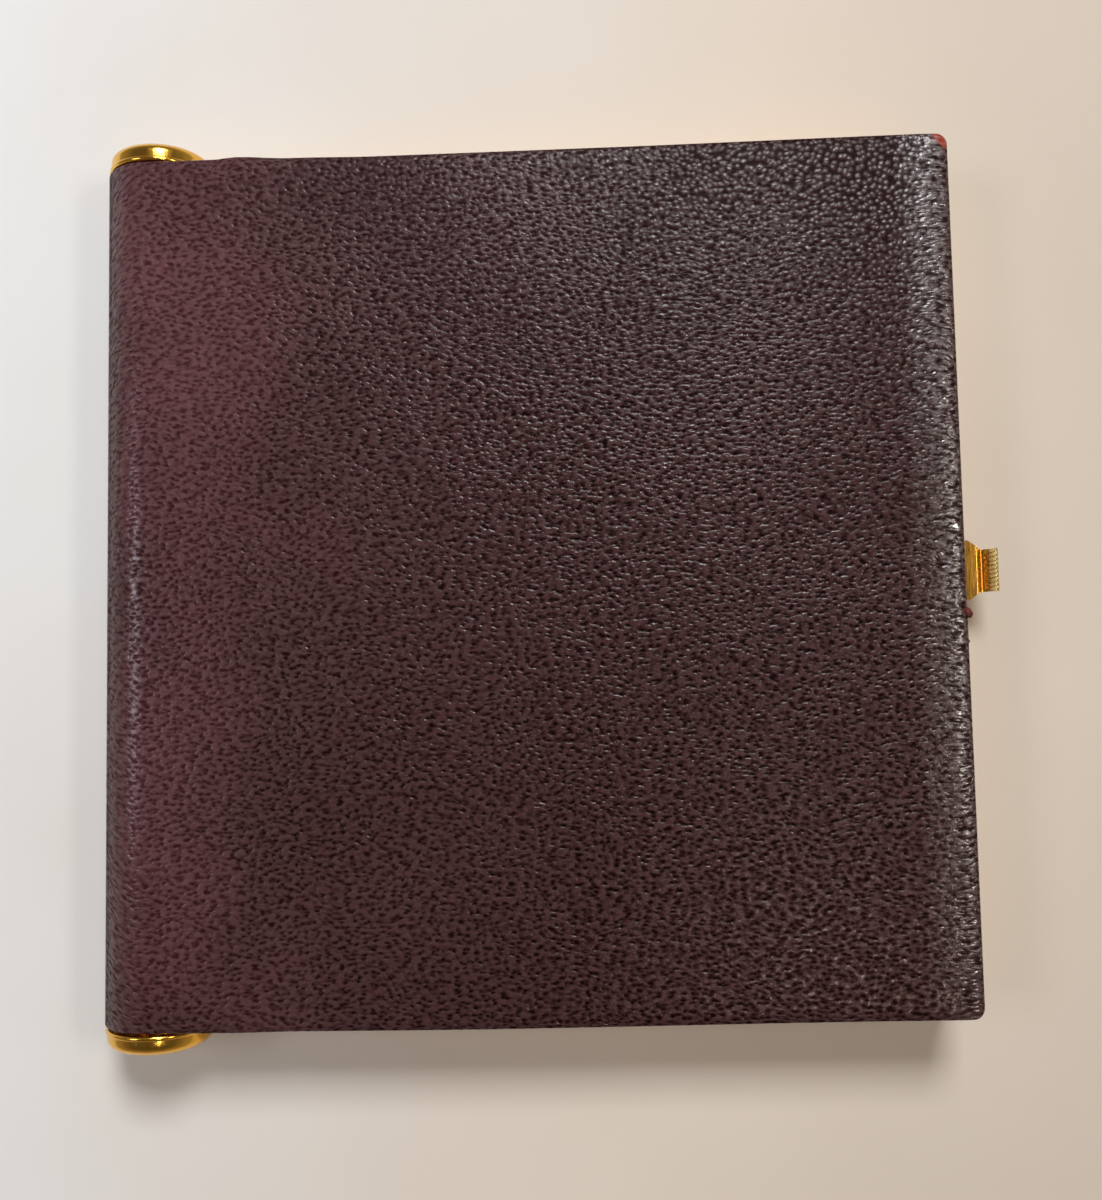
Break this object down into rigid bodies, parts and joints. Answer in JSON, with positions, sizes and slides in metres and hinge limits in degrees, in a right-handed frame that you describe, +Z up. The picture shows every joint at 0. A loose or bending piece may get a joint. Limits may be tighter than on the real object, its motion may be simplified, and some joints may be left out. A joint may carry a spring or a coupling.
{
  "type": "makeup case",
  "caption": "Book-shaped makeup case: a square brass tray and lid under dark burgundy leather, with a lipstick in the tube of the spine, domed brass caps and a grooved clasp.",
  "frame": {"origin": "middle of the closed case's underside, halfway along the spine and halfway from the spine's face to the free edge of the leather", "axes": "+Z up out of the lid, +Y along the spine, +X from the spine to the free edge with the clasp"},
  "size_m": [0.0991, 0.1014, 0.0116],
  "materials": {
    "brass": "polished",
    "polished_brass": "mirror polish",
    "leather": "fine pebble grain, semi-matte",
    "steel": "bright",
    "powder": "pressed powder",
    "rouge": "pressed powder",
    "eye_shadow": "pressed powder",
    "net": "fine net",
    "puff": "velour",
    "ribbon": "satin",
    "handle": "gloss",
    "sponge": "foam",
    "mirror": "silvered glass",
    "card": "grey board",
    "rubber": "matte",
    "lipstick": "satin wax"
  },
  "bodies": {
    "base": {"base_tray": "brass", "back_leather": "leather", "hinge_leather": "leather", "spine_barrel": "brass", "spine_rail": "brass", "end_cap": "polished_brass", "base_leaf": "brass", "hinge_pin": "steel", "deck": "brass", "powder_well": "brass", "powder": "powder", "sifter_frame": "brass", "sifter_net": "net", "puff": "puff", "puff_ribbon": "ribbon", "door_pin": "steel", "door_spring": "steel", "rouge_pan": "polished_brass", "rouge": "rouge", "shadow_pan": "polished_brass", "eye_shadow": "eye_shadow", "applicator_tray": "polished_brass", "applicator_handle": "handle", "applicator_tips": "sponge", "clasp_bracket": "brass", "clasp_pin": "steel", "clasp_spring": "steel"},
    "lid": {"lid_shell": "brass", "lid_leather": "leather", "lid_leaf": "brass", "lid_striker": "brass", "mirror": "mirror", "mirror_card": "card", "mirror_frame": "polished_brass", "lid_buttons": "rubber"},
    "powder_door": {"powder_door": "brass"},
    "clasp": {"clasp": "polished_brass"},
    "lipstick": {"lipstick_case": "polished_brass", "lipstick_spiral": "brass"},
    "knob": {"lipstick_knob": "polished_brass", "lipstick_slotted_tube": "brass", "knob_ring": "steel"},
    "stick": {"lipstick_cup": "brass", "lipstick_stick": "lipstick"}
  },
  "joints": [
    {"name": "lid_hinge", "type": "hinge", "parent": "base", "child": "lid", "pos_m": [-0.0345, 0, 0.01015], "axis": [0, -1, 0], "range_deg": [0, 100], "deforming": ["hinge_leather"]},
    {"name": "powder_door_hinge", "type": "hinge", "parent": "base", "child": "powder_door", "pos_m": [-0.0287, 0, 0.0061], "axis": [0, -1, 0], "range_deg": [0, 50], "deforming": ["door_spring"]},
    {"name": "clasp_pivot", "type": "hinge", "parent": "base", "child": "clasp", "pos_m": [0.0442, 0, 0.0029], "axis": [0, -1, 0], "range_deg": [0, 8], "stiffness_Nm_per_rad": 0.05, "springref_deg": -5.73, "deforming": ["clasp_spring"]},
    {"name": "lipstick_slide", "type": "slide", "parent": "base", "child": "lipstick", "axis": [0, -1, 0], "range_m": [0, 0.058]},
    {"name": "knob_turn", "type": "hinge", "parent": "lipstick", "child": "knob", "pos_m": [-0.0412, -0.048, 0.0058], "axis": [0, 1, 0], "range_deg": [0, 540]},
    {"name": "stick_rise", "type": "slide", "parent": "knob", "child": "stick", "axis": [0, 1, 0], "range_m": [0, 0.018]}
  ],
  "couplings": [
    {"joint": "powder_door_hinge", "follows": "lid_hinge", "ratio": 0.5},
    {"joint": "knob_turn", "follows": "stick_rise", "rad_per_m": 523.6}
  ]
}
